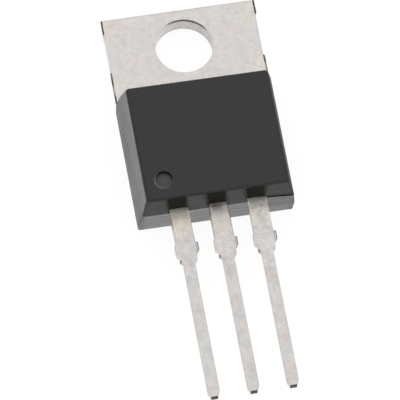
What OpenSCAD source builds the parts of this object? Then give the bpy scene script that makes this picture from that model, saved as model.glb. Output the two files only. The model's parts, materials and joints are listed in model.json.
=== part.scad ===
// Three-lead voltage regulator in a tabbed transistor package, in millimetres.
// Origin: middle of the mounting hole, on the bare metal back of the tab.
// +Z is out of the front of the case, +Y is towards the free edge of the tab, the leads run to -Y.

/* [Tab] */
// Width across the four sheared ears of the tab
tab_w = 10.2; // [9.9:0.05:10.5]
// Thickness of the tab and of the header that carries on inside the case
tab_t = 1.27; // [1.15:0.01:1.4]
// Middle of the mounting hole to the free edge of the tab
hole_to_edge = 2.65; // [2.5:0.05:3.0]
// Diameter of the mounting hole
hole_d = 3.8; // [3.5:0.05:4.0]
// Depth of the shallow waist in each long side of the tab
waist_depth = 0.11; // [0.06:0.01:0.25]
// Middle of the hole up to the upper end of the waist
waist_top = 1.6; // [1.2:0.05:1.9]
// Length of the waist along the side
waist_len = 2.95; // [2.4:0.05:3.4]
// How much shorter the waist is on the left
waist_left_short = 0.22; // [0.1:0.02:0.4]
// Middle of the hole down to the lower end of the lower ears
ear_end = 3.6; // [3.45:0.05:3.8]
// Sheared-off front edge of each ear
ear_chamfer = 0.07; // [0.03:0.01:0.09]
// How far the ears' sheared sides slope in towards the back
ear_taper = 0.12; // [0.04:0.01:0.15]

/* [Buried header] */
// Width of the header inside the case
header_w = 8.6; // [8.2:0.1:9.0]
// Middle of the hole to the far end of the header
header_end = 10.3; // [10.0:0.05:10.5]
// Width of the coined ledge that the moulding grips, along both sides and the end
ledge_w = 0.25; // [0.1:0.05:0.4]
// Height of that ledge above the back
ledge_t = 0.45; // [0.3:0.05:0.6]
// Width of the locking groove across the front of the header
groove_w = 0.4; // [0.2:0.05:0.6]
// Depth of the locking groove
groove_d = 0.2; // [0.1:0.05:0.3]
// Middle of the hole to the near side of the locking groove
groove_at = 4.9; // [4.6:0.1:5.6]

/* [Moulded case] */
// Back of the tab to the front face of the case
total_h = 4.5; // [4.3:0.05:4.7]
// Width of the flat front face
front_w = 9.2; // [8.9:0.05:9.5]
// Width of the case where it meets the front plane of the tab
case_w = 10.16; // [9.9:0.02:10.4]
// Middle of the hole to the upper edge of the front face
case_top = 4.05; // [3.95:0.05:4.25]
// Length of the flat front face
front_len = 8.08; // [7.9:0.02:8.3]
// How far the upper end slopes out from the front face down to the tab
top_out = 0.6; // [0.4:0.05:0.7]
// How far the end over the leads slopes out down to the parting line
part_out = 0.32; // [0.22:0.02:0.42]
// How far the end under the leads draws back in below the parting line
foot_in = 0.43; // [0.3:0.01:0.5]
// Flat taken off each upright corner at the back
corner_back = 0.2; // [0.1:0.05:0.5]
// Flat taken off each upright corner at the front face
corner_front = 0.08; // [0.04:0.02:0.4]
// Depth of the pocket over each lead, as a share of the slope above the parting line
pocket = 0.78; // [0.5:0.02:0.9]
// Diameter of the round index mark at its rim
dimple_d = 1.15; // [0.9:0.05:1.5]
// Depth of the index mark
dimple_depth = 0.25; // [0.1:0.01:0.3]
// Left edge of the front face to the middle of the index mark
dimple_side = 1.27; // [1.1:0.01:1.6]
// Lower edge of the front face to the middle of the index mark
dimple_up = 1.34; // [1.1:0.01:1.6]

/* [Leads] */
// Distance between neighbouring leads
lead_pitch = 2.54; // [2.5:0.01:2.6]
// Thickness of the lead metal
lead_t = 0.5; // [0.4:0.01:0.6]
// Back of the tab to the back of the leads
lead_z = 2.4; // [2.25:0.05:2.55]
// Width of the wide part next to the case
lead_w = 1.27; // [1.15:0.01:1.35]
// Width of the thin part that goes through the board
thin_w = 0.77; // [0.65:0.01:0.85]
// Parting line to the tip of the leads
lead_out = 13.05; // [12.7:0.05:14.0]
// Parting line to the start of the thin part
wide_out = 3.6; // [3.5:0.05:4.2]
// Length of the narrower neck at the end of the wide part
neck_len = 0.6; // [0.5:0.05:0.65]
// How far the left side of the neck is set in from the wide part
neck_left = 0.07; // [0.03:0.01:0.12]
// How far the right side of the neck is set in from the wide part
neck_right = 0.02; // [0.01:0.01:0.12]
// Parting line to the cut-off tie bar
tie_at = 2.2; // [2.0:0.05:2.4]
// Height of the cut-off tie bar along the lead
tie_len = 0.7; // [0.5:0.05:0.75]
// How far the tie bar stub stands out on the right of each lead
stub_right = 0.17; // [0.05:0.01:0.25]
// How far the tie bar stub stands out on the left of each lead
stub_left = 0.09; // [0.03:0.01:0.15]
// Length of the cut corners at the tip
tip_len = 0.38; // [0.2:0.02:0.5]
// Width of the cut corners at the tip
tip_cut = 0.17; // [0.1:0.01:0.25]

/* [Inside the case] */
// Width of the bonding post at the end of each outer lead
post_w = 2.3; // [1.8:0.1:2.5]
// Length of the bonding post
post_len = 1.2; // [0.9:0.05:1.3]
// Parting line to the outer end of the bonding posts
post_back = 0.7; // [0.55:0.05:0.8]
// Length along the part of the ground lead's climb from the header
climb = 0.9; // [0.8:0.05:1.0]
// Flat length of the ground lead before and after the climb
climb_flat = 0.15; // [0.1:0.05:0.2]
// Width of the silicon die
die_w = 2.2; // [1.6:0.1:2.6]
// Length of the silicon die
die_len = 2.0; // [1.6:0.1:2.4]
// Thickness of the silicon die
die_t = 0.3; // [0.2:0.02:0.4]
// Middle of the hole to the middle of the die
die_at = 8.1; // [7.9:0.05:8.4]
// Thickness of the solder under the die
solder_t = 0.06; // [0.04:0.01:0.1]
// How far the solder shows around the die
solder_rim = 0.1; // [0.05:0.05:0.2]
// Edge of the die to the middle of each bond
pad_inset = 0.45; // [0.35:0.05:0.6]
// Thickness of the bond wires
wire_d = 0.2; // [0.1:0.02:0.26]
// Height of the two long bond wires over the straight line between their ends
long_sag = 1.1; // [0.9:0.05:1.2]
// Height of the short bond wire over the straight line between its ends
short_sag = 0.8; // [0.6:0.05:0.9]
// Edge of the die to the ground wire's bond on the header
ground_reach = 1.1; // [0.9:0.05:1.3]

/* [Hidden] */

part_z = lead_z + lead_t;            // parting line, level with the front of the leads
y_front_end = -(case_top + front_len);
y_part = y_front_end - part_out;
y_foot = y_part + foot_in;
y_seat = -(case_top - top_out);      // upper end of the case on the front of the tab
seat_w = case_w * 0.994;              // width at the very back
die_top = tab_t + solder_t + die_t;
y_post = y_part + post_back;         // outer end of the bonding posts
post_side = post_w / 15;             // each post sits a little outwards of its lead
y_bend = -(header_end + climb_flat);       // where the ground lead starts to climb
rise = part_z - tab_t;

function half_w(z) = z <= tab_t ? (seat_w + (case_w - seat_w) * z / tab_t) / 2
    : (case_w + (front_w - case_w) * (z - tab_t) / (total_h - tab_t)) / 2;
function y_low(z) = z <= part_z ? y_foot + (y_part - y_foot) * z / part_z
    : y_part + (y_front_end - y_part) * (z - part_z) / (total_h - part_z);
function y_high(z) = z <= tab_t ? y_seat
    : y_seat + (-case_top - y_seat) * (z - tab_t) / (total_h - tab_t);
function flat_at(z) = corner_back + (corner_front - corner_back) * z / total_h;
levels = [0, tab_t, part_z, total_h];

// ---- case ----
module lengthways() {
    rotate([90, 0, 90]) linear_extrude(height = 14, center = true)
        polygon([[y_foot, 0], [y_part, part_z], [y_front_end, total_h], [-case_top, total_h],
                 [y_seat, tab_t], [-ear_end, tab_t], [-ear_end, 0]]);
}

module crossways() {
    translate([0, 2, 0]) rotate([90, 0, 0]) linear_extrude(height = 18)
        polygon([[-seat_w / 2, 0], [seat_w / 2, 0], [case_w / 2, tab_t], [front_w / 2, total_h],
                 [-front_w / 2, total_h], [-case_w / 2, tab_t]]);
}

// flats on the upright corners, drafted with the walls; dir 1 cuts lower right and upper left
module corner_flats(dir) {
    ym = -8;
    far = [for (z = levels) [(half_w(z) - (y_low(z) - ym) - flat_at(z)) / sqrt(2), z]];
    near = [for (i = [3:-1:0]) let(z = levels[i])
        [-(half_w(z) + (y_high(z) - ym) - flat_at(z)) / sqrt(2), z]];
    translate([0, ym, 0]) mirror([dir > 0 ? 0 : 1, 0, 0]) rotate([0, 0, -45]) rotate([90, 0, 0])
        linear_extrude(height = 30, center = true) polygon(concat(far, near));
}

module lead_pockets() {
    wall = y_part + pocket * part_out;
    for (i = [-1:1]) translate([i * lead_pitch, 0, 0]) rotate([90, 0, 90])
        linear_extrude(height = lead_w, center = true)
            polygon([[y_part - 1, part_z], [wall, part_z], [y_front_end - 0.01, total_h],
                     [y_front_end - 0.01, total_h + 1], [y_part - 1, total_h + 1]]);
}

module index_mark() {
    translate([-front_w / 2 + dimple_side, y_front_end + dimple_up, total_h - dimple_depth])
        cylinder(h = dimple_depth * 2, d1 = dimple_d * 0.95, d2 = dimple_d * 1.05, $fn = 48);
}

module case_outside() {
    difference() {
        intersection() {
            lengthways();
            crossways();
            corner_flats(1);
            corner_flats(-1);
        }
        lead_pockets();
        index_mark();
    }
}

module moulded_case() {
    color([0.13, 0.13, 0.135]) difference() {
        case_outside();
        tab_and_ground_lead();
        input_lead();
        output_lead();
        die_attach_solder();
        silicon_die();
        input_wire();
        output_wire();
        ground_wire();
    }
}

// ---- tab, header and ground lead: one stamping ----
module tab_plan() {
    e = tab_w / 2;
    w = e - waist_depth;
    h = header_w / 2;
    low = waist_top - waist_len;
    low_left = low + waist_left_short;
    polygon([[e, hole_to_edge], [e, waist_top + 0.1], [w, waist_top], [w, low], [e, low - 0.1],
             [e, -ear_end], [h, -ear_end], [h, -header_end],
             [-h, -header_end], [-h, -ear_end], [-e, -ear_end],
             [-e, low_left - 0.1], [-w, low_left], [-w, waist_top], [-e, waist_top + 0.1],
             [-e, hole_to_edge]]);
}

module ear_profile() {
    e = tab_w / 2;
    translate([0, hole_to_edge + 1, 0]) rotate([90, 0, 0]) linear_extrude(height = header_end + 6)
        polygon([[ear_taper - e, 0], [e - ear_taper, 0],
                 [e, tab_t - ear_chamfer], [e - ear_chamfer, tab_t],
                 [-e + ear_chamfer, tab_t], [-e, tab_t - ear_chamfer]]);
}

module ledge_cuts() {
    h = header_w / 2;
    for (s = [-1, 1]) translate([s > 0 ? h - ledge_w : -h - 1, -header_end - 1, -1])
        cube([1 + ledge_w, header_end - ear_end + 1, 1 + ledge_t]);
    translate([-h - 1, -header_end - 1, -1]) cube([header_w + 2, 1 + ledge_w, 1 + ledge_t]);
}

// outline of a lead outside y_from, in plan, about its own middle line
module lead_plan(y_from) {
    w = lead_w / 2;
    right = w - neck_right;
    left = w - neck_left;
    t = thin_w / 2;
    y_tie = y_part - tie_at;
    y_neck = y_part - wide_out + neck_len;
    y_thin = y_part - wide_out;
    y_tip = y_part - lead_out;
    y_slope = y_thin + neck_len / 3;
    slope_in = neck_left / 2;
    polygon([[w, y_from], [w, y_tie], [w + stub_right, y_tie - tie_len / 12],
             [w + stub_right, y_tie - tie_len * 0.85], [w + stub_right / 5, y_tie - tie_len],
             [right, y_neck], [right - slope_in, y_slope], [t, y_thin], [t, y_tip + tip_len],
             [t - tip_cut, y_tip], [-t + tip_cut, y_tip], [-t, y_tip + tip_len], [-t, y_thin],
             [slope_in - left, y_slope], [-left, y_neck - neck_len / 6],
             [-w - stub_left / 3, y_neck], [-w - stub_left, y_tie - tie_len],
             [-w - stub_left, y_tie - tie_len / 5], [-w, y_tie], [-w, y_from]]);
}

module ground_bend() {
    slope = norm([climb, rise]);
    y_flat = y_bend - climb - climb_flat;
    // horizontal set-back that keeps the metal lead_t thick through the climb
    back = lead_t * (slope - climb) / rise;
    rotate([90, 0, 90]) linear_extrude(height = lead_w, center = true)
        polygon([[-header_end + 3 * ledge_w, tab_t - lead_t], [y_bend, tab_t - lead_t],
                 [y_bend - climb, lead_z], [y_flat, lead_z], [y_flat, part_z],
                 [y_bend - climb + back, part_z], [y_bend + back, tab_t],
                 [-header_end + 3 * ledge_w, tab_t]]);
}

module tab_and_ground_lead() {
    color([0.78, 0.77, 0.75]) union() {
        difference() {
            intersection() {
                linear_extrude(height = tab_t) tab_plan();
                ear_profile();
            }
            translate([0, 0, -1]) cylinder(h = tab_t + 2, d = hole_d, $fn = 96);
            ledge_cuts();
            translate([-header_w, -groove_at - groove_w, tab_t - groove_d])
                cube([2 * header_w, groove_w, 2]);
        }
        ground_bend();
        translate([0, 0, lead_z]) linear_extrude(height = lead_t) lead_plan(y_bend - climb - climb_flat);
    }
}

// ---- outer leads ----
module outer_lead(side) {
    translate([side * lead_pitch, 0, lead_z]) union() {
        linear_extrude(height = lead_t) lead_plan(y_post + 0.3);
        translate([side * post_side - post_w / 2, y_post, 0]) cube([post_w, post_len, lead_t]);
    }
}

module input_lead() {
    color([0.8, 0.79, 0.77]) outer_lead(-1);
}

module output_lead() {
    color([0.8, 0.79, 0.77]) outer_lead(1);
}

// ---- die, solder and wires ----
module silicon_die() {
    color([0.35, 0.36, 0.42]) translate([-die_w / 2, -die_at - die_len / 2, tab_t + solder_t])
        cube([die_w, die_len, die_t]);
}

module die_attach_solder() {
    color([0.6, 0.6, 0.62]) translate([-die_w / 2 - solder_rim, -die_at - die_len / 2 - solder_rim, tab_t])
        cube([die_w + 2 * solder_rim, die_len + 2 * solder_rim, solder_t]);
}

// round wire bent to one arc from p to q, standing sag above the straight line between them
module arc_wire(p, q, sag) {
    flat = norm([q[0] - p[0], q[1] - p[1]]);
    chord = norm(q - p);
    tilt = atan2(q[2] - p[2], flat);
    r = (chord * chord / 4 + sag * sag) / (2 * sag);
    half = asin(chord / 2 / r);
    sink = 5;
    translate(p) rotate([0, 0, atan2(q[1] - p[1], q[0] - p[0])]) rotate([90, 0, 0]) rotate([0, 0, tilt])
        translate([chord / 2, sag - r, 0]) rotate([0, 0, 90 - half - sink])
            rotate_extrude(angle = 2 * (half + sink)) translate([r, 0]) circle(d = wire_d, $fn = 24);
}

die_pad_x = die_w / 2 - pad_inset;
die_pad_y = -die_at - die_len / 2 + pad_inset;
post_x = lead_pitch + post_side;
post_y = y_post + post_len * 0.55;

module input_wire() {
    color([0.85, 0.84, 0.8]) difference() {
        arc_wire([-die_pad_x, die_pad_y, die_top], [-post_x, post_y, part_z], long_sag);
        silicon_die();
        input_lead();
    }
}

module output_wire() {
    color([0.85, 0.84, 0.8]) difference() {
        arc_wire([die_pad_x, die_pad_y, die_top], [post_x, post_y, part_z], long_sag);
        silicon_die();
        output_lead();
    }
}

module ground_wire() {
    color([0.85, 0.84, 0.8]) difference() {
        arc_wire([pad_inset / 2, -die_at + die_len / 2 - pad_inset, die_top],
                 [pad_inset * 2, -die_at + die_len / 2 + ground_reach, tab_t], short_sag);
        silicon_die();
        tab_and_ground_lead();
    }
}

moulded_case();
tab_and_ground_lead();
input_lead();
output_lead();
silicon_die();
die_attach_solder();
input_wire();
output_wire();
ground_wire();
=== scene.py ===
"""Three-lead voltage regulator: epoxy moulding, tin-plated tab and leads, chip and bond wires."""

import json
from math import cos, radians, sin

import bmesh
import bpy
from bpy.props import FloatProperty, FloatVectorProperty, PointerProperty
from bpy.types import Operator, Panel, PropertyGroup
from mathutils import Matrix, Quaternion, Vector


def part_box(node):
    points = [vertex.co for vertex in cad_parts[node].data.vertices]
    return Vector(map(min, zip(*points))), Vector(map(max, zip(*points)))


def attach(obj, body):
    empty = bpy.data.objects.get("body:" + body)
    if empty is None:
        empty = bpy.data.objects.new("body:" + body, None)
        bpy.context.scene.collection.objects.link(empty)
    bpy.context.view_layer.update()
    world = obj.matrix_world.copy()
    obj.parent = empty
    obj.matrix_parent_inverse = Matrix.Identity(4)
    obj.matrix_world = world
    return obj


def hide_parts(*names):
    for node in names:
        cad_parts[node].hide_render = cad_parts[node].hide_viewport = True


bl_info = {
    "name": "Voltage Regulator",
    "version": (1, 0, 0),
    "blender": (4, 5, 0),
    "location": "3D View > Sidebar > Regulator",
    "description": "Dresses the packed voltage regulator and sets its studio",
    "category": "Object",
}

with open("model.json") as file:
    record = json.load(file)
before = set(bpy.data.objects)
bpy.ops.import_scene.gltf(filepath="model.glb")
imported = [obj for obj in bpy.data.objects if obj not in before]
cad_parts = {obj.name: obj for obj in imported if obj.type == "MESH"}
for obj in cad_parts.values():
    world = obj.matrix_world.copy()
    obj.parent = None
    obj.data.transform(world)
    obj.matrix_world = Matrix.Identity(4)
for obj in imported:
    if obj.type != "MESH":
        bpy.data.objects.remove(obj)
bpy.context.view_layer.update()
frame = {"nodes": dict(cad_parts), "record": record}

MM = 0.001  # metres in a millimetre; shapes are worked in millimetres and scaled once, at the end
LEADS = ("input_lead", "output_lead")
PINS = ("input_pin", "ground_pin", "output_pin")
WIRES = ("input_wire", "output_wire", "ground_wire")

LEVEL = 0.001  # heights closer than this are the same, in millimetres
TOUCHING = 0.0005  # points closer than this are one point, in millimetres
LYING = 0.99  # a face whose normal has this much of Z in it lies flat
FLAT_WITHIN = radians(0.5)  # faces that turn less than this are one flat face
SMOOTH_WITHIN = radians(28)  # faces that turn less than this are shaded as one
SHARP_OVER = radians(50)  # edges of a stamping that turn more than this are broken
FINE = 0.01 * MM  # depth of the finest grain
SENSOR = 36.0  # width of the camera's sensor, in millimetres

# places that the frame doesn't name, in millimetres
WAIST_TOP = 1.6  # upper end of the waist in the tab's sides, from the middle of the hole
WAIST_FOOT = -1.36  # its lower end
WAIST_SHORT = 0.22  # how much sooner the lower end comes on the left
EAR_SLOPE = 0.12  # how far the ears' sheared sides slope in towards the back
TAB_FROM = -4.0  # the tab lies beyond this, and the header short of it, inside the case
LEAD_FROM = -11.0  # inside the case, where the middle lead's marks take over from the tab's
ANYWHERE = -30.0  # below the tips of the leads
STUB_TOP = -2.2  # stub of the cut-off tie bar on a lead, from the lower end of the case
STUB_FOOT = -2.95
STUB_SIDE = 0.77  # its end face, from the middle of the lead
BAND_START, BAND_FULL = 2.8, 3.2  # a duller band on the case, from its middle to the right


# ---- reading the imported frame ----


def corners(node):
    """Lowest and highest corner of a node, in millimetres."""
    low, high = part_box(node)
    return Vector(low) / MM, Vector(high) / MM


def mount(name):
    """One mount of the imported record."""
    return next(m for m in frame["record"]["mounts"] if m["name"] == name)


def pin_places():
    """Where each lead runs, from side to side, in millimetres."""
    return [mount(pin)["pos_m"][0] / MM for pin in PINS]


def same_level(point, height):
    return abs(point.z - height) < LEVEL


def outline_at(node, height):
    """Half width, lower end and upper end of a node where its corners lie at a height."""
    points = [v.co / MM for v in frame["nodes"][node].data.vertices]
    level = [p for p in points if same_level(p, height)]
    return max(p.x for p in level), min(p.y for p in level), max(p.y for p in level)


FLOOR = 0.0
SEAT = corners("die_attach_solder")[0].z
PARTING = corners("input_lead")[1].z
FRONT = corners("moulded_case")[1].z
BORE = mount("mounting_hole")["dims"]["r_mm"]


# ---- sizes and finishes that a user would change ----


def length(name, description, millimetres):
    """A length that the sidebar shows in the scene's own unit."""
    return FloatProperty(
        name=name,
        description=description,
        default=millimetres * MM,
        min=0.0,
        unit="LENGTH",
        precision=5,
    )


def angle(name, description, degrees):
    return FloatProperty(
        name=name, description=description, default=radians(degrees), subtype="ANGLE"
    )


def share(name, description, value, top=1.0):
    return FloatProperty(name=name, description=description, default=value, min=0.0, max=top)


def paint(name, description, red, green, blue):
    return FloatVectorProperty(
        name=name,
        description=description,
        default=(red, green, blue),
        subtype="COLOR",
        min=0.0,
        max=1.0,
    )


class MouldingSizes(PropertyGroup):
    """Roundings, pockets and marks of the epoxy case."""

    corner_back: length("Back corners", "Radius of the upright corners at the back", 0.13)
    corner_seat: length("Seat corners", "Radius of the upright corners level with the tab", 0.13)
    corner_parting: length(
        "Parting corners", "Radius of the upright corners at the parting line", 0.16
    )
    corner_front: length("Front corners", "Radius of the upright corners at the front face", 0.22)
    fuller_back: length("Fuller back", "How much further each side stands out at the back", 0.03)
    fuller_seat: length(
        "Fuller seat", "How much further each side stands out level with the tab", 0.02
    )
    fuller_parting: length(
        "Fuller parting", "How much further each side stands out at the parting line", 0.11
    )
    fuller_front: length(
        "Fuller front", "How much further each side stands out at the front face", 0.035
    )
    end_skew: length(
        "End skew", "How much further each end stands out at one side than at the other", 0.06
    )
    front_edge: length("Front edge", "Rounding round the front face", 0.19)
    back_edge: length("Back edge", "Rounding round the back", 0.05)
    parting_depth: length("Parting gap depth", "Depth of the gap where the mould halves met", 0.1)
    parting_width: length("Parting gap width", "Width of the gap where the mould halves met", 0.06)
    parting_start: length(
        "Parting gap start", "Middle of the case to where the gap starts to open", 2.2
    )
    parting_full: length(
        "Parting gap full", "Middle of the case to where the gap is fully open", 3.3
    )
    parting_step: length(
        "Parting step", "How far the lower end steps in there, running out at the corner", 0.12
    )
    pocket_left: length(
        "Pocket left", "Middle of a lead to the left side of its pocket, at its floor", 0.65
    )
    pocket_right: length(
        "Pocket right", "Middle of a lead to the right side of its pocket, at the wall", 0.52
    )
    pocket_depth: length("Pocket depth", "Parting line in to the wall of each pocket", 0.25)
    flare_right: length(
        "Flare right", "How far a pocket's right side opens towards its mouth", 0.2
    )
    lean_left: length(
        "Lean left", "How far a pocket's left side leans out from its floor up", 0.19
    )
    lean_right: length(
        "Lean right", "How far a pocket's right side leans in from its floor up", 0.1
    )
    pocket_edge: length("Pocket edge", "Rounding down the sides of each pocket", 0.05)
    mark_side: length("Mark from the side", "Left edge of the front face to the index mark", 1.31)
    mark_up: length("Mark from the end", "Lower edge of the front face to the index mark", 1.41)
    mark_width: length("Mark width", "Diameter of the index mark", 1.06)
    mark_depth: length("Mark depth", "Depth of the index mark", 0.28)
    worn_depth: length("Worn rim depth", "Depth of the slope worn into the rim of the mark", 0.07)
    worn_rim: length(
        "Worn rim", "How much larger than the mark's the radius of that slope is", 0.06
    )
    worn_side: length(
        "Worn side", "How far that slope lies off the mark's middle to the left", 0.08
    )
    worn_end: length(
        "Worn end", "How far that slope lies off the mark's middle to the lower end", 0.1
    )


class StampingSizes(PropertyGroup):
    """Punched and sheared edges of the copper parts."""

    tab_roll: length(
        "Tab roll width", "Width of the soft edge that the punch leaves on the tab", 0.2
    )
    tab_drop: length("Tab roll drop", "How far the tab's front falls away at its edge", 0.03)
    hole_edge: length("Hole edge", "Rounding round the front of the mounting hole", 0.035)
    lead_roll: length("Lead roll width", "Width of the soft edge on the leads", 0.12)
    lead_drop: length("Lead roll drop", "How far a lead's front falls away at its edge", 0.02)
    broken_edge: length("Broken edge", "Rounding of every other sharp edge", 0.02)


class Finishes(PropertyGroup):
    """Colours and surface of each material."""

    epoxy: paint("Epoxy", "Moulding compound", 0.0045, 0.0045, 0.005)
    # Partly painted sheen: the walls' pale film also stands in for the grazing light they catch.
    epoxy_film: paint(
        "Film on the sides", "Pale film that the mould leaves on the walls", 0.013, 0.013, 0.013
    )
    epoxy_roughness: share("Epoxy roughness", "Roughness of the moulded faces", 0.22)
    wall_roughness: share("Side roughness", "Roughness that the long walls add to that", 0.175)
    right_roughness: share("Right roughness", "Roughness that the right wall adds as well", 0.4)
    tab_end_roughness: share(
        "Tab end roughness", "Roughness that the end over the tab adds", 0.35
    )
    band_roughness: share(
        "Band roughness", "Roughness that a band adds on the lower end, right of the leads", 0.22
    )
    # Painted shade: this matte compound stands in for the shade in the lead pockets and on the wall
    # of the index mark.
    pocket: paint("Pocket", "Moulding compound inside the lead pockets", 0.015, 0.0135, 0.01)
    mark: paint("Index mark", "Floor of the index mark", 0.05, 0.05, 0.05)
    # Painted highlight: the pale rim of the index mark stands in for light caught on its worn
    # slope.
    scuffed: paint("Scuffed rim", "Compound worn pale at the rim of the index mark", 0.1, 0.1, 0.1)
    tin: paint("Tin", "Dull tin plating", 0.69, 0.66, 0.64)
    warm_tin: paint("Warm tin", "Tin heated or worn thin near a sheared edge", 0.74, 0.68, 0.59)
    cool_tin: paint("Cool tin", "Cooler patches in the plating", 0.68, 0.665, 0.64)
    rosy_tin: paint(
        "Rosy tin", "Patches where the copper shows faintly through", 0.695, 0.65, 0.625
    )
    tin_roughness: share("Tin roughness", "Roughness of the plating", 0.38)
    copper: paint("Copper", "Bare copper of the sheared ears", 0.46, 0.3, 0.22)
    tarnish: paint("Tarnish", "Oxidised copper along the sheared edges", 0.07, 0.045, 0.035)
    silicon: paint("Silicon", "Polished chip", 0.2, 0.21, 0.25)
    solder: paint("Solder", "Soft solder under the chip", 0.5, 0.5, 0.52)
    aluminium: paint("Bond wire", "Drawn aluminium wire", 0.8, 0.8, 0.8)


class StudioSettings(PropertyGroup):
    """Camera, lamps and floor."""

    azimuth: angle("Azimuth", "Camera turned from the leads' end towards the left", 14.17)
    elevation: angle("Elevation", "Camera above the floor", 64.65)
    roll: angle("Roll", "Camera turned about its own axis", 4.64)
    distance: length("Distance", "Camera to the point it looks at", 403.3)
    lens: FloatProperty(
        name="Lens", description="Focal length in millimetres", default=564.8, min=1.0
    )
    target: FloatVectorProperty(
        name="Target",
        description="The point that the camera looks at",
        default=(-0.987 * MM, -11.418 * MM, 2.0 * MM),
        subtype="TRANSLATION",
        unit="LENGTH",
    )
    softbox_size: length("Softbox", "Side of the square lamp overhead", 1400.0)
    softbox_height: length("Softbox height", "Lamp above the floor", 1200.0)
    softbox_back: length(
        "Softbox back", "How far the lamp hangs beyond the hole, away from the leads", 300.0
    )
    softbox_power: FloatProperty(
        name="Softbox power", description="Power of the lamp", default=1.5, min=0.0
    )
    surround: share("Surround", "Brightness of the room round the object", 0.84, 2.0)
    floor_size: length("Floor size", "Side of the square floor", 6000.0)
    floor_gap: length("Floor gap", "How far the floor lies under the back of the part", 0.02)
    floor_colour: paint("Floor", "Pale floor", 0.82, 0.82, 0.82)
    floor_white: share("Floor white", "How far the seen floor is lifted to white", 0.85)
    floor_glow: share("Floor glow", "Brightness of that white", 1.08, 2.0)


# ---- shader sums ----


class Value:
    """A socket of a material that takes part in Python sums."""

    def __init__(self, sheet, socket):
        self.sheet = sheet
        self.socket = socket

    def __add__(self, other):
        return self.sheet.math("ADD", self, other)

    def __sub__(self, other):
        return self.sheet.math("SUBTRACT", self, other)

    def __rsub__(self, other):
        return self.sheet.math("SUBTRACT", other, self)

    def __mul__(self, other):
        return self.sheet.math("MULTIPLY", self, other)

    def __pow__(self, other):
        return self.sheet.math("POWER", self, other)

    def __abs__(self):
        return self.sheet.math("ABSOLUTE", self)

    __radd__ = __add__
    __rmul__ = __mul__


class Sheet:
    """The node tree of one material, or of the world."""

    def __init__(self, tree):
        self.tree = tree
        tree.nodes.clear()

    def node(self, kind, settings=(), sockets=(), out=0):
        """Add a node: its settings first, then the values or links of its sockets."""
        made = self.tree.nodes.new("ShaderNode" + kind)
        for name, value in dict(settings).items():
            setattr(made, name, value)
        for name, value in dict(sockets).items():
            if isinstance(value, Value):
                self.tree.links.new(value.socket, made.inputs[name])
            else:
                made.inputs[name].default_value = value
        return Value(self, made.outputs[out]) if made.outputs else made

    def math(self, operation, *values):
        return self.node("Math", {"operation": operation}, dict(enumerate(values)))

    def place(self, stretch=(1, 1, 1)):
        """Object coordinates in millimetres, stretched along each axis."""
        coordinates = self.node("TexCoord", out="Object")
        factors = [part / MM for part in stretch]
        return self.node("VectorMath", {"operation": "MULTIPLY"}, {0: coordinates, 1: factors})

    def axes(self):
        """X, Y and Z of the place, in millimetres."""
        split = self.node("SeparateXYZ", sockets={0: self.place()}).socket.node
        return [Value(self, output) for output in split.outputs]

    def noise(self, place, scale, detail=3.0, roughness=0.5):
        sockets = {"Vector": place, "Scale": scale, "Detail": detail, "Roughness": roughness}
        return self.node("TexNoise", sockets=sockets)

    def fade(self, value, start, end, low=0.0, high=1.0):
        """Low up to start, high from end on, and smooth between."""
        ends = {"From Min": start, "From Max": end, "To Min": low, "To Max": high}
        settings = {"interpolation_type": "SMOOTHSTEP"}
        return self.node("MapRange", settings, {"Value": value, **ends})

    def either(self, first, *others):
        """The strongest of several masks."""
        for other in others:
            first = self.math("MAXIMUM", first, other)
        return first

    def line(self, distance, width):
        """One on a line and nothing beyond its width."""
        return self.fade(abs(distance), width, width * 0.4)

    def spot(self, across, along, radius):
        """One at the middle of a round spot and nothing beyond its radius."""
        return self.fade((across**2 + along**2) ** 0.5, radius, radius * 0.4)

    def blend(self, factor, first, second):
        """One colour turning into another."""
        return self.node("Mix", {"data_type": "RGBA"}, {0: factor, 6: first, 7: second}, out=2)

    def surface(self, values):
        """A Principled surface as the output of the material."""
        shader = self.node("BsdfPrincipled", sockets=values)
        return self.node("OutputMaterial", sockets={"Surface": shader})


def sheet_for(name):
    """A new material and its empty node tree."""
    material = bpy.data.materials.new(name)
    material.use_nodes = True
    return material, Sheet(material.node_tree)


def opaque(colour):
    return (*colour, 1.0)


# ---- materials ----


def on_long_wall(sheet, sizes, x, z):
    """One on the two long walls, which lean, and nothing on the ends and the front."""
    _, seat, _, parting, _, front = case_levels(sizes)
    height = sheet.math("MAXIMUM", z, SEAT)
    lines = []
    for low, high in ((seat, parting), (parting, front)):
        slope = (high[1] - low[1]) / (high[0] - low[0])
        lines.append(parting[1] + slope * (height - PARTING))
    reach = sheet.math("MINIMUM", *lines)
    return sheet.fade(abs(x) - reach, -0.1, -0.02)


def case_roughness(finishes, sizes, sheet, wall):
    """The walls are duller than the front, and dullest on the right and over the tab."""
    x, y, z = sheet.axes()
    half = outline_at("moulded_case", PARTING)[0]
    middle = case_middle()
    long_wall = on_long_wall(sheet, sizes, x, z)
    end_wall = wall * (1.0 - long_wall)
    at_corner = 0.4 * sheet.fade(abs(x), half - 0.2, half - 0.04)
    upper_half = sheet.fade(z, PARTING - 0.06, PARTING + 0.06)
    worn = 0.09 * sheet.fade(z, 1.6, 0.2) - 0.06 * sheet.fade(z, PARTING, FRONT)
    worn = worn - 0.12 * upper_half
    to_right = sheet.fade(x, BAND_START, BAND_FULL)
    right_band = to_right * upper_half * sheet.fade(y, middle, middle - 3.0)
    rough = sheet.either(long_wall, at_corner) * (finishes.wall_roughness + worn)
    rough = rough + finishes.tab_end_roughness * end_wall * sheet.fade(y, middle, middle + 3.0)
    rough = rough + finishes.band_roughness * end_wall * right_band
    rough = rough + finishes.right_roughness * long_wall * sheet.fade(x, 0.0, 1.0)
    return finishes.epoxy_roughness + rough


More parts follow.
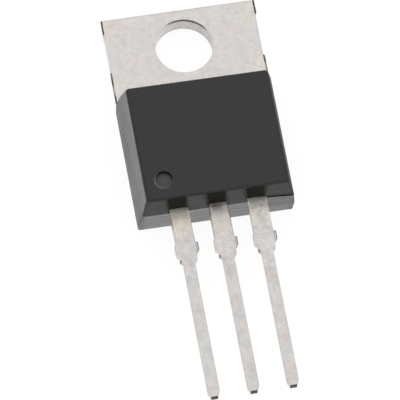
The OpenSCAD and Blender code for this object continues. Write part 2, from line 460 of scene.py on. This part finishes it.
def epoxy_look(finishes, sizes, sheet):
    """Matte black moulding compound: filler grain on the front, drag marks along the walls."""
    z = sheet.axes()[2]
    mottle = sheet.noise(sheet.place(), 0.8, 4.0)
    grain = sheet.noise(sheet.place(), 14.0, 2.0, 0.6)
    drag = sheet.noise(sheet.place((0.3, 0.3, 3.0)), 1.0, 4.0, 0.7) - 0.5
    wall = sheet.fade(z, FRONT - 0.02, FRONT - 0.2)
    # Partly painted sheen: patches of pale film on the walls, which also stand in for the grazing
    # light the walls catch.
    film = sheet.fade(sheet.noise(sheet.place((0.2, 0.3, 0.5)), 1.0, 2.0), 0.4, 0.62)
    clouded = sheet.fade(mottle, 0.35, 0.65)
    colour = sheet.blend(clouded, opaque(finishes.epoxy), opaque(finishes.epoxy * 1.3))
    colour = sheet.blend(film * wall, colour, opaque(finishes.epoxy_film))
    rough = case_roughness(finishes, sizes, sheet, wall)
    rough = rough + 0.14 * (mottle - 0.5) + 0.2 * drag * wall
    height = grain * 0.5 + drag * wall * 18.0
    bump = sheet.node("Bump", sockets={"Strength": 0.15, "Distance": FINE, "Height": height})
    values = {"Base Color": colour, "Roughness": rough, "IOR": 1.5, "Normal": bump}
    return sheet.node("BsdfPrincipled", sockets=values)


def epoxy_material(finishes, sizes):
    """The outside of the case."""
    material, sheet = sheet_for("epoxy_moulding")
    sheet.node("OutputMaterial", sockets={"Surface": epoxy_look(finishes, sizes, sheet)})
    return material


def mark_material(name, tint):
    """Matte, paler compound where the ejector pin pressed it; on the worn slope round the mark the
    pale colour is a painted highlight.
    """
    material, sheet = sheet_for(name)
    grain = sheet.noise(sheet.place(), 10.0, 3.0)
    colour = sheet.blend(grain, opaque(tint * 0.85), opaque(tint * 1.15))
    bump = sheet.node("Bump", sockets={"Strength": 0.15, "Distance": FINE, "Height": grain})
    sheet.surface({"Base Color": colour, "Roughness": 0.4 + 0.1 * grain, "Normal": bump})
    return material


def pocket_shade_material(finishes, sizes):
    """Painted shade in the lead pockets: coarse, matte compound that reflects little, giving way to
    plain epoxy towards their sides.
    """
    material, sheet = sheet_for("epoxy_pocket_shade")
    x, _, z = sheet.axes()
    speck = sheet.noise(sheet.place(), 9.0, 3.0)
    colour = sheet.blend(speck, opaque(finishes.pocket * 0.6), opaque(finishes.pocket * 1.4))
    bump = sheet.node("Bump", sockets={"Strength": 0.3, "Distance": 2 * FINE, "Height": speck})
    values = {"Base Color": colour, "Roughness": 0.7 + 0.2 * speck, "Normal": bump}
    # Painted shade: a coarse surface that reflects little, so that the pockets look shaded.
    pocket_shade = sheet.node("BsdfPrincipled", sockets={**values, "Specular IOR Level": 0.12})
    across = beside_lead(sheet, x)
    up = (z - PARTING) * (1 / (FRONT - PARTING))
    left = across + sizes.pocket_left / MM + sizes.lean_left / MM * up
    right = across - sizes.pocket_right / MM + sizes.lean_right / MM * up
    # The painted shade gives way to plain epoxy towards each pocket's sides.
    out_of_shade = sheet.fade(right, -0.1, sizes.flare_right / MM) + 0.7 * sheet.fade(left, 0.12, 0.0)
    clean = epoxy_look(finishes, sizes, sheet)
    mixed = sheet.node("MixShader", sockets={0: out_of_shade, 1: pocket_shade, 2: clean})
    sheet.node("OutputMaterial", sockets={"Surface": mixed})
    return material


def tin_material(finishes, name, marks):
    """Dull tin over copper: cloudy, streaked plate that marks stain and wear through, with painted
    shade, shadow and light laid on by some of them.
    """
    material, sheet = sheet_for(name)
    cloud = sheet.noise(sheet.place(), 1.5, 4.0, 1.0)
    patch = sheet.noise(sheet.place(), 0.7, 2.0)
    hue = sheet.noise(sheet.place(), 1.2, 2.0)
    streak = sheet.noise(sheet.place((9.0, 0.6, 9.0)), 1.0, 3.0)
    mark = marks(sheet)
    plate = sheet.blend(sheet.fade(hue, 0.42, 0.6), opaque(finishes.tin), opaque(finishes.cool_tin))
    plate = sheet.blend(sheet.fade(patch, 0.48, 0.62), plate, opaque(finishes.rosy_tin))
    warmed = mark["warm"] * sheet.fade(cloud, 0.3, 0.6)
    plate = sheet.blend(warmed, plate, opaque(finishes.warm_tin))
    light = 0.58 + 0.75 * cloud + 0.35 * mark["mottled"] * (cloud - 0.5) + 0.08 * streak
    # Stains together with painted shade and shadow; negative amounts are painted light.
    light = light - 0.5 * mark["shade_and_stain"]
    shaded = sheet.node("VectorMath", {"operation": "SCALE"}, {0: plate, "Scale": light})
    colour = sheet.blend(mark["bare"], shaded, opaque(finishes.copper))
    colour = sheet.blend(mark["tarnish"], colour, opaque(finishes.tarnish))
    rough = finishes.tin_roughness + 0.2 * (cloud - 0.5) + 0.1 * (streak - 0.5)
    rough = rough + 0.2 * mark["tarnish"]
    height = cloud * 0.6 + streak * 0.4
    bump = sheet.node("Bump", sockets={"Strength": 0.2, "Distance": FINE, "Height": height})
    metal = 1.0 - 0.6 * mark["tarnish"]
    sheet.surface({"Base Color": colour, "Roughness": rough, "Metallic": metal, "Normal": bump})
    return material


def beside_lead(sheet, x):
    """Distance to the right of the nearest lead's middle line."""
    pitch = pin_places()[1] - pin_places()[0]
    return sheet.math("FLOORED_MODULO", x + 1.5 * pitch, pitch) - pitch / 2


def lead_marks(sheet):
    """Stains at the roots, worn stubs and shoulders, sheared tips, and painted shade, shadow and
    highlights near the case; some on one lead only.
    """
    x, y, z = sheet.axes()
    across = beside_lead(sheet, x)
    along = y - corners("moulded_case")[0].y
    tip = corners("input_lead")[0].y
    first = sheet.fade(x, -1.0, -1.5)
    middle = sheet.fade(abs(x), 0.6, 0.5)
    last = sheet.fade(x, 1.0, 1.5)

    front = sheet.fade(z, PARTING - 0.25, PARTING - 0.1)
    stub_end = sheet.fade(across, STUB_SIDE - 0.07, STUB_SIDE) * front
    shoulder = sheet.spot(across + 0.52, along + 3.45, 0.1)
    cut = sheet.fade(y, tip + 0.03, tip + 0.01)
    root_edge = first * sheet.fade(across, -0.53, -0.6) * sheet.fade(along, -1.4, -0.7)
    tarnish = sheet.either(0.7 * stub_end, 0.8 * shoulder, cut, 0.45 * root_edge)

    above_foot = sheet.fade(along, STUB_FOOT - 0.05, STUB_FOOT + 0.05)
    beside_stub = above_foot * sheet.fade(along, STUB_TOP + 0.05, STUB_TOP - 0.05)
    # Painted shade: a thin line of shade along the inner side of each stub.
    crease_shade = sheet.line(across - 0.66, 0.045) * beside_stub
    # Painted shadow: a line of contact shadow across the middle lead where it leaves the case.
    root_contact_shadow = middle * sheet.line(along - 0.065, 0.05)
    # Painted light: the leads are lightened next to the case, against the shade the case casts on
    # them.
    root = sheet.fade(along, -0.4, 0.05)
    smudge = sheet.either(
        sheet.spot(across - 0.2, along + 0.35, 0.16), sheet.spot(across - 0.05, along + 0.75, 0.12)
    )
    # Painted highlight along the right edge of the last lead.
    edge_highlight = last * sheet.fade(across, 0.45, 0.55) * sheet.line(along + 1.2, 0.45)
    edge_shade = first * sheet.fade(across, -0.3, -0.5) * sheet.fade(along, -1.2, -0.3)
    # Painted shade: a patch along the middle lead near the case, which also holds the painted light
    # off it.
    middle_lead_shade = middle * sheet.fade(abs(across + 0.12), 0.42, 0.2) * sheet.fade(along, -1.2, -0.4)
    marks = 0.45 * last * smudge - 0.4 * edge_highlight + 0.25 * edge_shade + 0.18 * middle_lead_shade
    return {
        "warm": (0.4 + 0.6 * first) * sheet.fade(along, -2.4, -1.2),
        "bare": 0.0,
        "tarnish": tarnish,
        "shade_and_stain": 0.6 * crease_shade + 0.15 + 0.95 * root_contact_shadow - 1.1 * root * (1.0 - middle_lead_shade) + marks,
        "mottled": sheet.fade(along, -8.0, -4.0, 0.1, 1.0),
    }


def ear_marks(sheet):
    """Where the four ears were sheared: a copper face, and a tarnished edge along its front."""
    x, y, z = sheet.axes()
    half = corners("tab_and_ground_lead")[1].x
    side = abs(x)
    left = sheet.fade(x, 0.0, -1.0)
    upper = sheet.fade(y, WAIST_TOP, WAIST_TOP + 0.08)
    lower = sheet.fade(y - WAIST_SHORT * left, WAIST_FOOT, WAIST_FOOT - 0.08)
    ears = sheet.either(upper, lower)
    ragged = sheet.noise(sheet.place((1.0, 2.6, 2.6)), 1.0, 3.0)
    slope = EAR_SLOPE * (1.0 - z * (1 / SEAT))
    sheared = ears * sheet.fade(side + slope, half - 0.05, half - 0.02)
    inner = half - 0.16 + 0.03 * left
    along_front = sheet.fade(z + 0.3 * ragged, SEAT + 0.02, SEAT + 0.1)
    edge = sheet.fade(side - inner, 0.0, 0.05) * along_front
    weak = sheet.fade(y, -1.8, -2.1) * (1.0 - left)
    break_in_edge = left * sheet.line(y + 2.5, 0.5)
    edge = edge * ears * (1.0 - 0.5 * weak) * (1.0 - 0.6 * break_in_edge)
    return sheared, sheet.either(edge, 0.55 * sheared * sheet.fade(ragged, 0.45, 0.7))


def tab_marks(sheet):
    """Warm tin and bare copper at the ears, painted shade on the scored bore, a painted arc of
    shade at the hole's far rim, and the middle lead's own marks.
    """
    x, y, z = sheet.axes()
    half = corners("tab_and_ground_lead")[1].x
    reach = (x**2 + y**2) ** 0.5
    near_ear = sheet.either(sheet.fade(y, 0.7, 1.4), sheet.line(y + 2.0, 0.9))
    ear = 0.8 * near_ear * sheet.fade(abs(x), half - 0.9, half - 0.1)
    bare, tarnish = ear_marks(sheet)
    inside = sheet.fade(reach, BORE + 0.03, BORE) * sheet.fade(z, SEAT - 0.03, SEAT - 0.1)
    scored = sheet.noise(sheet.place((4.0, 4.0, 0.3)), 1.0, 2.0)
    # Painted shade: the bore wall darkens towards one side; the scoring streaks in it are real.
    shaded = sheet.fade(0.7 * x + 0.7 * y, -0.6, 1.4)
    bore = inside * shaded * (0.3 + 0.4 * scored)
    # Painted reflection: a thin arc of shade along the upper, far rim of the hole.
    upper = sheet.fade(0.28 * x + 0.96 * y, 1.2, 1.7)
    rim = sheet.line(reach - BORE, 0.06) * upper * sheet.fade(z, SEAT - 0.22, SEAT - 0.12)
    lead = lead_marks(sheet)
    on_lead = sheet.fade(y, LEAD_FROM, LEAD_FROM - 0.5)
    return {
        "warm": ear + lead["warm"] * on_lead,
        "bare": bare,
        "tarnish": sheet.either(tarnish, lead["tarnish"] * on_lead),
        "shade_and_stain": bore + 1.4 * rim + 0.03 + on_lead * (lead["shade_and_stain"] - 0.03),
        "mottled": on_lead * lead["mottled"],
    }


def silicon_material(finishes):
    """Polished chip, with faint cells of metal on its face."""
    material, sheet = sheet_for("silicon_chip")
    sockets = {"Vector": sheet.place(), "Scale": 3.0}
    cells = sheet.node("TexVoronoi", {"distance": "CHEBYCHEV"}, sockets)
    edge = sheet.fade(cells, 0.3, 0.5)
    colour = sheet.blend(edge, opaque(finishes.silicon), opaque(finishes.aluminium))
    sheet.surface({"Base Color": colour, "Roughness": 0.12 + 0.2 * edge, "Metallic": 0.8})
    return material


def solder_material(finishes):
    """Soft solder, matte and faintly crystalline."""
    material, sheet = sheet_for("soft_solder")
    crystal = sheet.node("TexVoronoi", {"feature": "F1"}, {"Vector": sheet.place(), "Scale": 6.0})
    colour = sheet.blend(crystal, opaque(finishes.solder), opaque(finishes.solder * 0.7))
    sheet.surface({"Base Color": colour, "Roughness": 0.35 + 0.25 * crystal, "Metallic": 1.0})
    return material


def wire_material(finishes):
    """Drawn aluminium, with die lines along it."""
    material, sheet = sheet_for("drawn_aluminium")
    line = sheet.noise(sheet.place((1.0, 6.0, 1.0)), 4.0, 2.0)
    colour = sheet.blend(line, opaque(finishes.aluminium), opaque(finishes.aluminium * 0.85))
    sheet.surface({"Base Color": colour, "Roughness": 0.25 + 0.15 * line, "Metallic": 1.0})
    return material


# ---- mesh work, in millimetres ----


def mesh_from(bm, name, materials=()):
    """An object whose mesh is the bmesh, which is used up."""
    mesh = bpy.data.meshes.new(name)
    bm.to_mesh(mesh)
    bm.free()
    for material in materials:
        mesh.materials.append(material)
    made = bpy.data.objects.new(name, mesh)
    bpy.context.scene.collection.objects.link(made)
    return made


def finish_piece(piece, slot, *nodes):
    """Scale a piece to metres, shade it, and let it stand for its nodes."""
    mesh = piece.data
    bm = bmesh.new()
    bm.from_mesh(mesh)
    bmesh.ops.scale(bm, vec=(MM, MM, MM), verts=bm.verts)
    bm.to_mesh(mesh)
    bm.free()
    mesh.shade_smooth()
    mesh.set_sharp_from_angle(angle=SMOOTH_WITHIN)
    flatten = piece.modifiers.new("flat faces", "WEIGHTED_NORMAL")
    flatten.keep_sharp = True
    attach(piece, "root")
    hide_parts(*nodes)


def stock(node):
    """A closed copy of a node's mesh in millimetres, with its flat faces made whole."""
    bm = bmesh.new()
    bm.from_mesh(frame["nodes"][node].data)
    bmesh.ops.scale(bm, vec=(1 / MM, 1 / MM, 1 / MM), verts=bm.verts)
    bmesh.ops.remove_doubles(bm, verts=bm.verts, dist=TOUCHING)
    bmesh.ops.dissolve_limit(bm, angle_limit=FLAT_WITHIN, verts=bm.verts, edges=bm.edges)
    return bm


def section(bm, height, half, low, high, corner):
    """One level of the moulding: the edges of a rectangle with rounded corners."""
    places = ((half, low), (half, high), (-half, high), (-half, low))
    points = [bm.verts.new((x, y, height)) for x, y in places]
    bm.faces.new(points)
    bmesh.ops.bevel(
        bm, geom=points, offset=corner, segments=5, profile=0.5, affect="VERTICES", material=-1
    )
    face = next(f for f in bm.faces if same_level(f.verts[0].co, height))
    edges = list(face.edges)
    bmesh.ops.delete(bm, geom=[face], context="FACES_ONLY")
    return edges


def round_edges(bm, edges, width, segments=2, clamp=True):
    bmesh.ops.bevel(
        bm,
        geom=list(edges),
        offset=width,
        offset_type="OFFSET",
        segments=segments,
        profile=0.5,
        affect="EDGES",
        clamp_overlap=clamp,
        material=-1,
    )


def between(height, lower, upper):
    """Values part of the way from one level to the next; each level starts with its height."""
    part = (height - lower[0]) / (upper[0] - lower[0])
    return [a + (b - a) * part for a, b in zip(lower, upper)]


def case_levels(sizes):
    """Height, half width, ends and corner radii of each level, from the back to the front."""
    corner = (sizes.corner_back, sizes.corner_seat, sizes.corner_parting, sizes.corner_front)
    back, seat, parting, front = [
        [height, *outline_at("moulded_case", height), radius / MM]
        for height, radius in zip((FLOOR, SEAT, PARTING, FRONT), corner)
    ]
    back[3] = seat[3]
    seat[2] = between(SEAT, back, parting)[2]
    fuller = (sizes.fuller_back, sizes.fuller_seat, sizes.fuller_parting, sizes.fuller_front)
    for level, added in zip((back, seat, parting, front), fuller):
        level[1] += added / MM
    half_line = sizes.parting_width / MM / 2
    below = between(PARTING - half_line, seat, parting)
    above = between(PARTING + half_line, parting, front)
    return [back, seat, below, parting, above, front]


def loft_case(sizes):
    """The outside of the moulding: rounded sections bridged from the back to the front."""
    bm = bmesh.new()
    rings = [section(bm, *level) for level in case_levels(sizes)]
    for lower, upper in zip(rings, rings[1:]):
        bmesh.ops.bridge_loops(bm, edges=lower + upper)
    for ring in (rings[0], rings[-1]):
        bmesh.ops.contextual_create(bm, geom=ring)
    bmesh.ops.recalc_face_normals(bm, faces=bm.faces)
    skew_ends(bm, sizes)
    open_parting(bm, sizes)
    top = [e for e in bm.edges if all(same_level(v.co, FRONT) for v in e.verts)]
    round_edges(bm, top, sizes.front_edge / MM, 4)
    bottom = [e for e in bm.edges if all(same_level(v.co, FLOOR) for v in e.verts)]
    round_edges(bm, bottom, sizes.back_edge / MM)
    return bm


def case_middle():
    """Halfway between the ends of the case."""
    return sum(outline_at("moulded_case", PARTING)[1:]) / 2


def ramp(value, start, end):
    """Nothing at start, one at end, and in proportion between."""
    return min(max((value - start) / (end - start), 0.0), 1.0)


def skew_ends(bm, sizes):
    """Let the foot stand out at its right, and the end over the tab at its left."""
    reach = max(v.co.x for v in bm.verts)
    for point in bm.verts:
        if point.co.y < case_middle():
            below = ramp(point.co.z, PARTING, FLOOR)
            point.co.y -= below * ramp(point.co.x, -reach, reach) * sizes.end_skew / MM
        else:
            point.co.y += ramp(point.co.x, reach, -reach) * sizes.end_skew / MM


def open_parting(bm, sizes):
    """Open a fine gap between the mould halves at the right of the lower end."""
    start, full = sizes.parting_start / MM, sizes.parting_full / MM
    for x in (start, full):
        bmesh.ops.bisect_plane(
            bm, geom=[*bm.verts, *bm.edges, *bm.faces], plane_co=(x, 0, 0), plane_no=(1, 0, 0)
        )
    half_line = sizes.parting_width / MM / 2
    corner = max(v.co.x for v in bm.verts) - sizes.corner_parting / MM
    for point in (v for v in bm.verts if v.co.y < case_middle()):
        opened = ramp(point.co.x, start, full)
        if abs(point.co.z - PARTING) < half_line * 1.1:
            run_out = ramp(point.co.x, corner, full)
            point.co.y += min(opened, run_out) * sizes.parting_step / MM
        if same_level(point.co, PARTING):
            point.co.z -= opened * sizes.parting_depth / MM
            point.co.y += opened * half_line
        elif same_level(point.co, PARTING + half_line):
            point.co.y += opened * half_line * 2


def pocket_cutter(sizes, x, wall, edge):
    """A block that leaves one lead pocket, narrowest at its wall and leaning to the left."""
    bm = bmesh.new()
    left, right = sizes.pocket_left / MM, sizes.pocket_right / MM
    rise = FRONT - PARTING
    past = 1.0  # how far the block reaches past the case
    carried = 0.2  # how far its slope is carried on, as a share of it
    outline = (
        (wall, PARTING),
        (edge, FRONT),
        (edge + (edge - wall) * carried, FRONT + carried * rise),
        (wall - past, FRONT + past),
        (wall - past, PARTING),
    )
    face = bm.faces.new([bm.verts.new((x - left, y, z)) for y, z in outline])
    grown = bmesh.ops.extrude_face_region(bm, geom=[face])["geom"]
    far = [v for v in grown if isinstance(v, bmesh.types.BMVert)]
    bmesh.ops.translate(bm, vec=(left + right, 0, 0), verts=far)
    opened = 1 / (sizes.pocket_depth / MM)
    for point in bm.verts:
        if point in far and point.co.y < wall - past / 2:
            point.co.x += sizes.flare_right / MM * opened
        lean = sizes.lean_right if point in far else sizes.lean_left
        point.co.x -= lean / MM * (point.co.z - PARTING) / rise
    bmesh.ops.recalc_face_normals(bm, faces=bm.faces)
    return bm


def round_plug(centre, bottom, top, depth, aside=(0, 0, 0)):
    """A round plug that reaches as far above the front face as below it; its top may lie aside."""
    bm = bmesh.new()
    bmesh.ops.create_cone(
        bm, cap_ends=True, segments=64, radius1=bottom, radius2=2 * top - bottom, depth=2 * depth
    )
    upper = [v for v in bm.verts if v.co.z > 0]
    bmesh.ops.translate(bm, vec=2 * Vector(aside), verts=upper)
    bmesh.ops.translate(bm, vec=centre, verts=bm.verts)
    for face in bm.faces:
        face.material_index = int(abs(face.normal.z) < LYING)
    return bm


def mark_cutters(sizes, centre, floor, wall, scuffed):
    """The index mark: a straight-sided plug, and a slope worn into its left and lower rim."""
    reach = sizes.mark_width / MM / 2
    aside = (-sizes.worn_side / MM, -sizes.worn_end / MM, 0)
    worn_reach = reach + sizes.worn_rim / MM
    plug = round_plug(centre, reach * 0.99, reach, sizes.mark_depth / MM)
    # The slope's pale colour is a painted highlight, and the mark's wall takes the pockets' painted
    # shade.
    slope = round_plug(centre, reach * 0.98, worn_reach, sizes.worn_depth / MM, aside)
    return [mesh_from(plug, "mark", [floor, wall]), mesh_from(slope, "mark", [floor, scuffed])]


def metal_cutter(node):
    """A node's own shape, carried on below the back so that a flush face is cut clean."""
    bm = stock(node)
    flush = [v for v in bm.verts if same_level(v.co, FLOOR)]
    carried = 0.5
    bmesh.ops.translate(bm, vec=(0, 0, -carried), verts=flush)
    return bm


def soften_rims(body, sizes):
    """Round the rims of the lead pockets, where one finish meets another."""
    bm = bmesh.new()
    bm.from_mesh(body.data)
    bmesh.ops.remove_doubles(bm, verts=bm.verts, dist=TOUCHING)
    meeting = [e for e in bm.edges if {f.material_index for f in e.link_faces} == {0, 1}]
    off_floor = PARTING + 0.3
    rims = [e for e in meeting if max(v.co.z for v in e.verts) > off_floor]
    bm.normal_update()
    round_edges(bm, rims, sizes.pocket_edge / MM, 3, False)
    bm.to_mesh(body.data)
    bm.free()


def carve(body, cutters):
    """Cut each closed cutter out of the body, then throw the cutters away."""
    for cutter in cutters:
        cut = body.modifiers.new(cutter.name, "BOOLEAN")
        cut.operation = "DIFFERENCE"
        cut.solver = "EXACT"
        cut.material_mode = "TRANSFER"
        cut.object = cutter
    depsgraph = bpy.context.evaluated_depsgraph_get()
    carved = bpy.data.meshes.new_from_object(body.evaluated_get(depsgraph))
    body.modifiers.clear()
    body.data = carved
    for cutter in cutters:
        bpy.data.objects.remove(cutter)


def roll_edge(bm, faces, width, drop):
    """Let a punched face fall away smoothly towards its edge."""
    rings = ((0.2, 0.5), (0.3, 0.33), (0.5, 0.17))  # shares of the width and of the drop
    bmesh.ops.translate(bm, vec=(0, 0, -drop), verts=list({v for f in faces for v in f.verts}))
    for across, up in rings:
        bmesh.ops.inset_region(
            bm,
            faces=faces,
            thickness=width * across,
            depth=drop * up,
            use_boundary=True,
            use_even_offset=True,
        )


def crisp_hole(bm, sizes):
    """Bring the front back up to the mounting hole, and round only the hole's edge."""
    reach = BORE + sizes.tab_roll / MM * 1.2
    near = [v for v in bm.verts if v.co.xy.length < reach and v.co.z > SEAT / 2]
    for point in near:
        point.co.z = SEAT
    bm.normal_update()
    rim = [e for e in bm.edges if all(v in near and v.co.xy.length < BORE + 0.01 for v in e.verts)]
    round_edges(bm, rim, sizes.hole_edge / MM, 5)


def stamped(node, sizes, fronts):
    """A copper stamping: soft where the punch met it, broken at its other sharp edges."""
    bm = stock(node)
    for height, start, width, drop in fronts:
        lying = [f for f in bm.faces if f.normal.z > LYING]
        level = [f for f in lying if same_level(f.calc_center_median(), height)]
        seen = [f for f in level if f.calc_center_median().y > start]
        roll_edge(bm, seen, width / MM, drop / MM)
    if node == "tab_and_ground_lead":
        crisp_hole(bm, sizes)
    sharp = [e for e in bm.edges if e.is_manifold and e.calc_face_angle() > SHARP_OVER]
    round_edges(bm, sharp, sizes.broken_edge / MM)
    return bm


# ---- operators ----


class REGULATOR_OT_stage(Operator):
    """Lay the pale floor, hang the softbox and aim the camera"""

    bl_idname = "regulator.stage"
    bl_label = "Set the studio"

    def execute(self, context):
        studio = context.scene.regulator_studio
        context.scene.view_settings.view_transform = "Standard"
        self.aim_camera(context, studio)
        self.light_room(context, studio)
        self.lay_floor(studio)
        return {"FINISHED"}

    @staticmethod
    def aim_camera(context, studio):
        data = bpy.data.cameras.new("camera")
        data.lens = studio.lens
        data.sensor_width = SENSOR
        data.clip_start = studio.distance / 20
        camera = bpy.data.objects.new("camera", data)
        context.scene.collection.objects.link(camera)
        context.scene.camera = camera
        turn, climb = studio.azimuth, studio.elevation
        back = Vector((-sin(turn) * cos(climb), -cos(turn) * cos(climb), sin(climb)))
        camera.rotation_mode = "QUATERNION"
        rolled = Quaternion((0, 0, 1), studio.roll)
        camera.rotation_quaternion = back.to_track_quat("Z", "Y") @ rolled
        camera.location = Vector(studio.target) + back * studio.distance

    @staticmethod
    def light_room(context, studio):
        lamp = bpy.data.lights.new("softbox", "AREA")
        lamp.size = studio.softbox_size
        lamp.energy = studio.softbox_power
        softbox = bpy.data.objects.new("softbox", lamp)
        softbox.location = (0, studio.softbox_back, studio.softbox_height)
        softbox.visible_camera = False
        context.scene.collection.objects.link(softbox)
        world = bpy.data.worlds.new("room")
        context.scene.world = world
        world.use_nodes = True
        sheet = Sheet(world.node_tree)
        towards = sheet.node("TexCoord", out="Generated")
        split = sheet.node("SeparateXYZ", sockets={0: towards}).socket.node
        height = Value(sheet, split.outputs["Z"])
        walls = sheet.fade(height, -0.1, 0.8, 0.9, 1.0)
        seen = sheet.node("LightPath", out="Is Camera Ray")
        strength = sheet.math("MAXIMUM", walls * studio.surround, seen)
        background = sheet.node("Background", sockets={"Color": (1, 1, 1, 1), "Strength": strength})
        sheet.node("OutputWorld", sockets={"Surface": background})

    @staticmethod
    def lay_floor(studio):
        material, sheet = sheet_for("pale_floor")
        paths = sheet.node("LightPath").socket.node.outputs
        mirrored = Value(sheet, paths["Is Glossy Ray"]) + Value(sheet, paths["Is Transmission Ray"])
        seen = studio.floor_white * Value(sheet, paths["Is Camera Ray"]) + mirrored
        paper = sheet.noise(sheet.place(), 0.3, 2.0)
        colour = sheet.blend(paper, opaque(studio.floor_colour), opaque(studio.floor_colour * 0.98))
        matte = sheet.node("BsdfDiffuse", sockets={"Color": colour})
        glow = {"Color": (1, 1, 1, 1), "Strength": studio.floor_glow}
        white = sheet.node("Emission", sockets=glow)
        share_white = sheet.math("MINIMUM", seen, 1.0)
        above = sheet.node("MixShader", sockets={0: share_white, 1: matte, 2: white})
        below = sheet.node("NewGeometry", out="Backfacing")
        clear = sheet.node("BsdfTransparent")
        mixed = sheet.node("MixShader", sockets={0: below, 1: above, 2: clear})
        sheet.node("OutputMaterial", sockets={"Surface": mixed})
        bm = bmesh.new()
        bmesh.ops.create_grid(bm, x_segments=1, y_segments=1, size=studio.floor_size / 2)
        bmesh.ops.translate(bm, vec=(0, 0, -studio.floor_gap), verts=bm.verts)
        mesh_from(bm, "floor", [material])


class REGULATOR_OT_case(Operator):
    """Mould the case round the metal parts"""

    bl_idname = "regulator.case"
    bl_label = "Mould the case"

    def execute(self, context):
        sizes = context.scene.regulator_moulding
        finishes = context.scene.regulator_finishes
        half, low = outline_at("moulded_case", FRONT)[:2]
        mark = Vector((sizes.mark_side / MM - half, low + sizes.mark_up / MM, FRONT))
        epoxy = epoxy_material(finishes, sizes)
        pocket_shade = pocket_shade_material(finishes, sizes)
        pressed = mark_material("epoxy_mark", finishes.mark)
        scuffed = mark_material("epoxy_scuffed", finishes.scuffed)
        case = mesh_from(loft_case(sizes), "case_body", [epoxy, pocket_shade, pressed, scuffed])
        wall = outline_at("moulded_case", PARTING)[1] + sizes.pocket_depth / MM
        pockets = [
            mesh_from(pocket_cutter(sizes, x, wall, low), "pocket", [pocket_shade]) for x in pin_places()
        ]
        marks = mark_cutters(sizes, mark, pressed, pocket_shade, scuffed)
        buried = ("tab_and_ground_lead", *LEADS, "die_attach_solder", "silicon_die", *WIRES)
        metal = [mesh_from(metal_cutter(node), "metal", [epoxy]) for node in buried]
        carve(case, [*pockets, *marks, *metal])
        soften_rims(case, sizes)
        finish_piece(case, "epoxy", "moulded_case")
        return {"FINISHED"}


class REGULATOR_OT_tab(Operator):
    """Stamp the tab, its header and the ground lead"""

    bl_idname = "regulator.tab"
    bl_label = "Stamp the tab"

    def execute(self, context):
        sizes = context.scene.regulator_stamping
        tin = tin_material(context.scene.regulator_finishes, "tin_plate_tab", tab_marks)
        fronts = (
            (SEAT, TAB_FROM, sizes.tab_roll, sizes.tab_drop),
            (PARTING, ANYWHERE, sizes.lead_roll, sizes.lead_drop),
        )
        bm = stamped("tab_and_ground_lead", sizes, fronts)
        finish_piece(mesh_from(bm, "tab", [tin]), "tinned_copper", "tab_and_ground_lead")
        return {"FINISHED"}


class REGULATOR_OT_leads(Operator):
    """Stamp the two outer leads"""

    bl_idname = "regulator.leads"
    bl_label = "Stamp the outer leads"

    def execute(self, context):
        sizes = context.scene.regulator_stamping
        tin = tin_material(context.scene.regulator_finishes, "tin_plate_lead", lead_marks)
        fronts = ((PARTING, ANYWHERE, sizes.lead_roll, sizes.lead_drop),)
        for node in LEADS:
            bm = stamped(node, sizes, fronts)
            finish_piece(mesh_from(bm, node + "_plated", [tin]), "tinned_copper", node)
        return {"FINISHED"}


class REGULATOR_OT_chip(Operator):
    """Finish the chip, its solder and the bond wires"""

    bl_idname = "regulator.chip"
    bl_label = "Finish the chip"

    def execute(self, context):
        finishes = context.scene.regulator_finishes
        wire = wire_material(finishes)
        coats = {node: wire for node in WIRES}
        coats["silicon_die"] = silicon_material(finishes)
        coats["die_attach_solder"] = solder_material(finishes)
        for node, material in coats.items():
            for slot in frame["nodes"][node].material_slots:
                slot.material = material
        return {"FINISHED"}


class REGULATOR_PT_panel(Panel):
    """Sizes, finishes and steps of the regulator"""

    bl_label = "Voltage regulator"
    bl_space_type = "VIEW_3D"
    bl_region_type = "UI"
    bl_category = "Regulator"

    def draw(self, context):
        for step in STEPS:
            self.layout.operator(step.bl_idname)
        for name, group in GROUPS.items():
            box = self.layout.box()
            for field in group.__annotations__:
                box.prop(getattr(context.scene, name), field)


GROUPS = {
    "regulator_moulding": MouldingSizes,
    "regulator_stamping": StampingSizes,
    "regulator_finishes": Finishes,
    "regulator_studio": StudioSettings,
}
STEPS = (
    REGULATOR_OT_stage,
    REGULATOR_OT_case,
    REGULATOR_OT_tab,
    REGULATOR_OT_leads,
    REGULATOR_OT_chip,
)
CLASSES = (*GROUPS.values(), *STEPS, REGULATOR_PT_panel)


def register():
    for cls in CLASSES:
        bpy.utils.register_class(cls)
    for name, group in GROUPS.items():
        setattr(bpy.types.Scene, name, PointerProperty(type=group))


def unregister():
    for name in GROUPS:
        delattr(bpy.types.Scene, name)
    for cls in reversed(CLASSES):
        bpy.utils.unregister_class(cls)


def main():
    register()
    bpy.ops.regulator.stage()
    bpy.ops.regulator.case()
    bpy.ops.regulator.tab()
    bpy.ops.regulator.leads()
    bpy.ops.regulator.chip()


if __name__ == "__main__":
    main()
